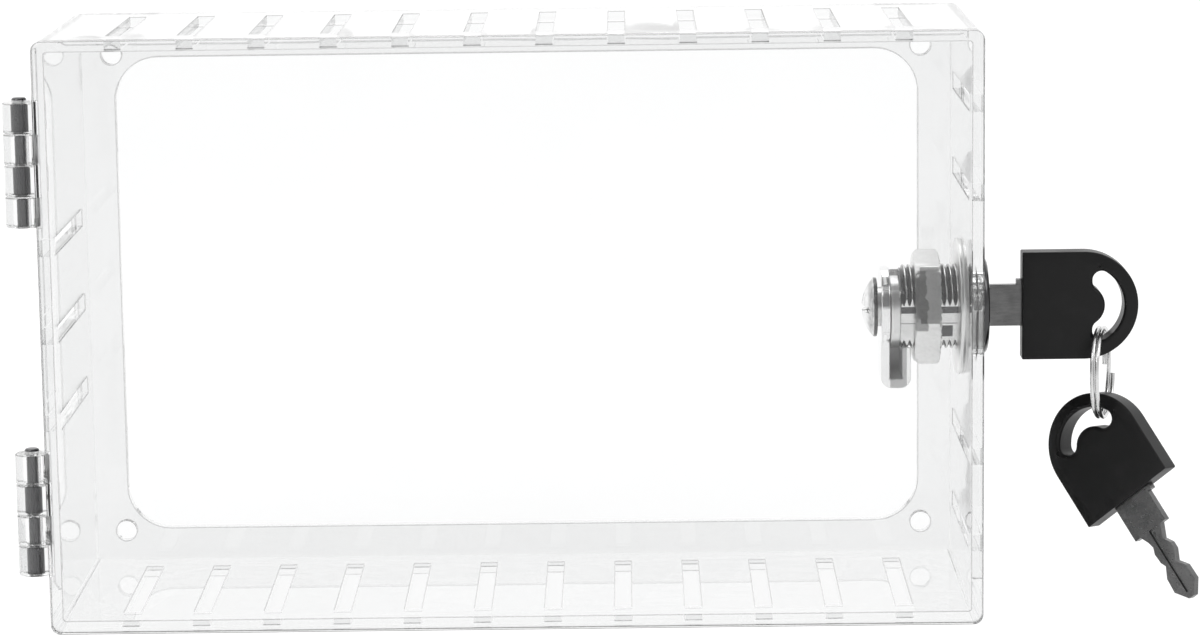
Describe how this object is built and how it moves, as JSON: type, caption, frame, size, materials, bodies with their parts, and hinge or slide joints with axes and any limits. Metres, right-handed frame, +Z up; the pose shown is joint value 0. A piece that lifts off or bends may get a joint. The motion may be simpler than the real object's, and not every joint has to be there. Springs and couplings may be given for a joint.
{
  "type": "thermostat lock box",
  "caption": "Clear wall box that covers a thermostat, with a hinged clear door, vent slots, a cam lock in its side, its key and a spare key on a split ring.",
  "frame": {"origin": "centre of the four wall screw holes, on the back face that meets the wall", "axes": "+X right as seen from the front, +Y into the wall, +Z up; the door faces -Y"},
  "size_m": [0.2601, 0.0664, 0.1302],
  "materials": {
    "clear_plastic": "clear polished acrylic",
    "hinge_steel": "dull drawn steel",
    "lock_nickel": "bright nickel plate",
    "zinc_plate": "zinc plated pressed steel",
    "brass": "stamped brass",
    "key_steel": "dark nickelled key blank",
    "key_black": "satin black moulded plastic",
    "ring_steel": "bright spring wire"
  },
  "bodies": {
    "case": {"box": "clear_plastic", "hinge_pin_upper": "hinge_steel", "hinge_pin_lower": "hinge_steel", "lock_barrel": "lock_nickel", "lock_trim_washer": "zinc_plate", "lock_nut": "zinc_plate"},
    "door": {"door": "clear_plastic", "door_keeper": "clear_plastic"},
    "plug": {"lock_plug": "lock_nickel", "stop_washer": "zinc_plate", "cam_hook": "lock_nickel", "cam_lock_washer": "zinc_plate", "cam_screw": "lock_nickel"},
    "wafers_up": {"wafers_upper": "brass"},
    "wafers_down": {"wafers_lower": "brass"},
    "key": {"key_head": "key_black", "key_blade": "key_steel"},
    "ring": {"key_ring": "ring_steel"},
    "spare_key": {"spare_key_head": "key_black", "spare_key_blade": "key_steel"}
  },
  "joints": [
    {"name": "door_hinge", "type": "hinge", "parent": "case", "child": "door", "pos_m": [-0.1051, -0.06275, 0], "axis": [0, 0, -1], "range_deg": [0, 180]},
    {"name": "plug_turn", "type": "hinge", "parent": "case", "child": "plug", "pos_m": [0.095, -0.0315, 0], "axis": [-1, 0, 0], "range_deg": [0, 90]},
    {"name": "wafer_up_slide", "type": "slide", "parent": "plug", "child": "wafers_up", "axis": [0, 0, 1], "range_m": [0, 0.0008]},
    {"name": "wafer_down_slide", "type": "slide", "parent": "plug", "child": "wafers_down", "axis": [0, 0, -1], "range_m": [0, 0.0008]},
    {"name": "key_slide", "type": "slide", "parent": "plug", "child": "key", "axis": [1, 0, 0], "range_m": [0, 0.02]},
    {"name": "ring_swing", "type": "hinge", "parent": "key", "child": "ring", "pos_m": [0.1315, -0.0315, -0.0059], "axis": [0.2756, 0.9613, 0], "range_deg": [-30, 20]},
    {"name": "spare_key_swing", "type": "hinge", "parent": "ring", "child": "spare_key", "pos_m": [0.1315, -0.0315, -0.0264], "axis": [0.2756, 0.9613, 0], "range_deg": [-45, 30]}
  ],
  "couplings": [
    {"joint": "wafer_up_slide", "follows": "key_slide", "ratio": 0.04},
    {"joint": "wafer_down_slide", "follows": "key_slide", "ratio": 0.04}
  ]
}
